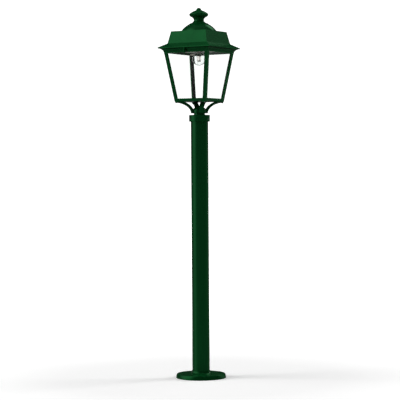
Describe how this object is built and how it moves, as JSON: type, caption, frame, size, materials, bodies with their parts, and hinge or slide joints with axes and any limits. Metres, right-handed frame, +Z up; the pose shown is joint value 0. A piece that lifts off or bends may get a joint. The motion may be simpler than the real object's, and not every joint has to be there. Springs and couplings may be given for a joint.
{
  "type": "post lantern",
  "caption": "Four-sided clear-glazed lantern with a hinged roof and a finial, on a straight round post with a round bolt-down flange.",
  "frame": {"origin": "centre of the flange's underside, on the ground", "axes": "+Z up along the post; the lantern's faces are square to X and Y; the roof hinges at the back, on +Y, and its closing screw is at the front, on -Y"},
  "size_m": [0.262, 0.262, 1.6175],
  "materials": {
    "painted_casting": "green powder coat on cast aluminium, satin",
    "painted_tube": "green powder coat on aluminium tube, satin",
    "clear_glass": "clear float glass",
    "stainless_fastener": "stainless steel",
    "glazing_rubber": "black rubber",
    "reflector_enamel": "white enamelled sheet",
    "porcelain": "white porcelain",
    "contact_brass": "plain brass",
    "bulb_clear_glass": "clear blown glass",
    "bulb_nickel": "plated aluminium lamp cap",
    "stem_glass": "glass stem",
    "filament_wire": "tungsten and nickel wire",
    "lead_sheath": "black rubberised sheath",
    "gland_plastic": "black polyamide",
    "terminal_plastic": "cream polyamide"
  },
  "bodies": {
    "post": {"base_flange": "painted_casting", "post_tube": "painted_tube", "flange_set_screws": "stainless_fastener", "post_collar": "painted_casting", "collar_set_screws": "stainless_fastener", "spigot": "painted_tube"},
    "lantern": {"cradle": "painted_casting", "hub_set_screws": "stainless_fastener", "bottom_frame": "painted_casting", "corner_post_back_right": "painted_casting", "corner_post_back_left": "painted_casting", "corner_post_front_left": "painted_casting", "corner_post_front_right": "painted_casting", "glass_right": "clear_glass", "glass_back": "clear_glass", "glass_left": "clear_glass", "glass_front": "clear_glass", "glazing_beads": "glazing_rubber", "top_frame": "painted_casting", "post_screws": "stainless_fastener", "cradle_screws": "stainless_fastener", "roof_gasket": "glazing_rubber", "hinge_pins": "stainless_fastener", "cable_gland": "gland_plastic", "supply_lead": "lead_sheath", "terminal_block": "terminal_plastic"},
    "roof": {"roof_shell": "painted_casting", "roof_dome": "painted_casting", "finial": "painted_casting", "centre_rod": "stainless_fastener", "rod_nuts": "stainless_fastener", "reflector_plate": "reflector_enamel", "reflector_rods": "stainless_fastener", "lampholder_body": "porcelain", "lampholder_sleeve": "contact_brass", "lampholder_contact": "contact_brass"},
    "bulb": {"bulb_glass": "bulb_clear_glass", "bulb_cap": "bulb_nickel", "bulb_contact": "contact_brass", "bulb_stem": "stem_glass", "bulb_filament": "filament_wire"},
    "closing_screw_body": {"closing_screw": "painted_casting"}
  },
  "joints": [
    {"name": "lantern_turn", "type": "hinge", "parent": "post", "child": "lantern", "pos_m": [0, 0, 1.1645], "axis": [0, 0, 1], "range_deg": [-90, 90]},
    {"name": "roof_hinge", "type": "hinge", "parent": "lantern", "child": "roof", "pos_m": [0, 0.121, 1.4265], "axis": [-1, 0, 0], "range_deg": [0, 105]},
    {"name": "bulb_turn", "type": "hinge", "parent": "roof", "child": "bulb", "pos_m": [0, 0, 1.458], "axis": [0, 0, 1], "continuous": true},
    {"name": "closing_screw_turn", "type": "hinge", "parent": "lantern", "child": "closing_screw_body", "pos_m": [0, -0.121, 1.424], "axis": [0, 0, 1], "continuous": true}
  ]
}
